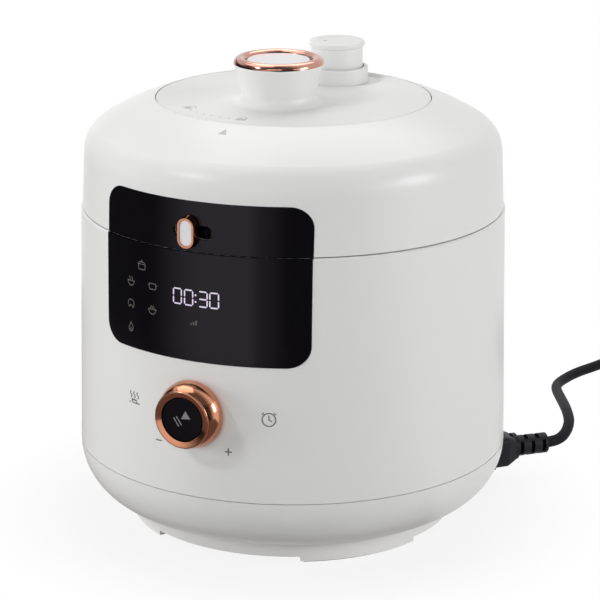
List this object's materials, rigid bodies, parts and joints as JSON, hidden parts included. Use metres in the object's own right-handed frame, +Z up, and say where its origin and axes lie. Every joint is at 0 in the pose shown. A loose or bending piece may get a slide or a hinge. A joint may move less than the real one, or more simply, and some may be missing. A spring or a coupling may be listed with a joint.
{
  "type": "electric pressure cooker",
  "caption": "Round white countertop pressure cooker with a hinged lid, bayonet-locking turn knob, steam valve, black control panel with a copper dial, and a mains cord.",
  "frame": {"origin": "on the floor under the body's upright axis, at the centre of the feet", "axes": "+Z up, -Y to the front with the dial and panel, +Y to the hinge, +X to the right side as seen from the front"},
  "size_m": [0.3493, 0.6428, 0.3265],
  "materials": {
    "white_gloss": "smooth white moulding with a soft sheen",
    "white_matt": "plain white moulding",
    "pearl_white": "polished white insert",
    "pale_grey": "plain pale grey moulding",
    "black_gloss": "polished black panel",
    "copper_plate": "polished rose copper plating",
    "steel": "satin stainless steel",
    "aluminium": "bare aluminium",
    "dark_coating": "dark non-stick coating",
    "silicone": "pale silicone",
    "grey_rubber": "grey rubber",
    "cord_black": "black cord sheath",
    "black_plastic": "black moulding",
    "board_green": "green circuit board",
    "display_dark": "dark display window"
  },
  "bodies": {
    "cooker_body": {"outer_shell": "white_gloss", "base_shell": "white_gloss", "hinge_base": "white_gloss", "base_plate": "white_matt", "top_ring": "pale_grey", "control_panel": "black_gloss", "locking_flange": "steel", "latch_plate": "steel", "hinge_pin": "steel", "inner_liner": "aluminium", "heating_plate": "aluminium", "inner_pot": "dark_coating", "foot_pads": "grey_rubber", "cord_run": "cord_black", "cord_coil": "cord_black", "connector": "black_plastic", "plug": "black_plastic", "coil_tie": "black_plastic", "inlet_socket": "black_plastic", "encoder": "black_plastic", "power_board": "board_green", "control_board": "board_green", "display_module": "display_dark"},
    "lid": {"lid_shell": "white_gloss", "lid_panel": "black_gloss", "lid_liner": "pale_grey", "hinge_leaf": "white_gloss"},
    "slider": {"slider_bezel": "copper_plate", "slider_insert": "pearl_white", "latch_slide": "black_plastic"},
    "turn_lid": {"turn_plate": "white_gloss", "knob_ring": "copper_plate", "knob_cap": "pearl_white", "valve_collar": "white_gloss", "turn_retainer": "pale_grey", "pressure_lid": "steel", "sealing_gasket": "silicone", "vent_pipe": "steel", "steam_shield": "steel"},
    "sensor": {"sensor_cup": "aluminium"},
    "dial": {"dial_knob": "copper_plate"},
    "button": {"start_button": "black_gloss"},
    "valve_weight": {"steam_valve": "white_gloss"},
    "float_pin": {"float_valve": "steel"}
  },
  "joints": [
    {"name": "lid_hinge", "type": "hinge", "parent": "cooker_body", "child": "lid", "pos_m": [0, 0.1563, 0.2215], "axis": [-1, 0, 0], "range_deg": [0, 85]},
    {"name": "lock_turn", "type": "hinge", "parent": "lid", "child": "turn_lid", "pos_m": [0, 0, 0.29], "axis": [0, 0, 1], "range_deg": [0, 36]},
    {"name": "latch_slide", "type": "slide", "parent": "lid", "child": "slider", "axis": [1, 0, 0], "range_m": [-0.006, 0.006]},
    {"name": "dial_turn", "type": "hinge", "parent": "cooker_body", "child": "dial", "pos_m": [0, -0.15, 0.1137], "axis": [0, -1, 0], "continuous": true},
    {"name": "start_press", "type": "slide", "parent": "dial", "child": "button", "axis": [0, 1, 0], "range_m": [0, 0.0012], "stiffness_N_per_m": 800, "springref_m": -0.001},
    {"name": "valve_lift", "type": "slide", "parent": "turn_lid", "child": "valve_weight", "axis": [0, 0, 1], "range_m": [0, 0.003]},
    {"name": "float_lift", "type": "slide", "parent": "turn_lid", "child": "float_pin", "axis": [0, 0, 1], "range_m": [0, 0.004]},
    {"name": "sensor_press", "type": "slide", "parent": "cooker_body", "child": "sensor", "axis": [0, 0, -1], "range_m": [0, 0.003], "stiffness_N_per_m": 400, "springref_m": -0.003}
  ]
}
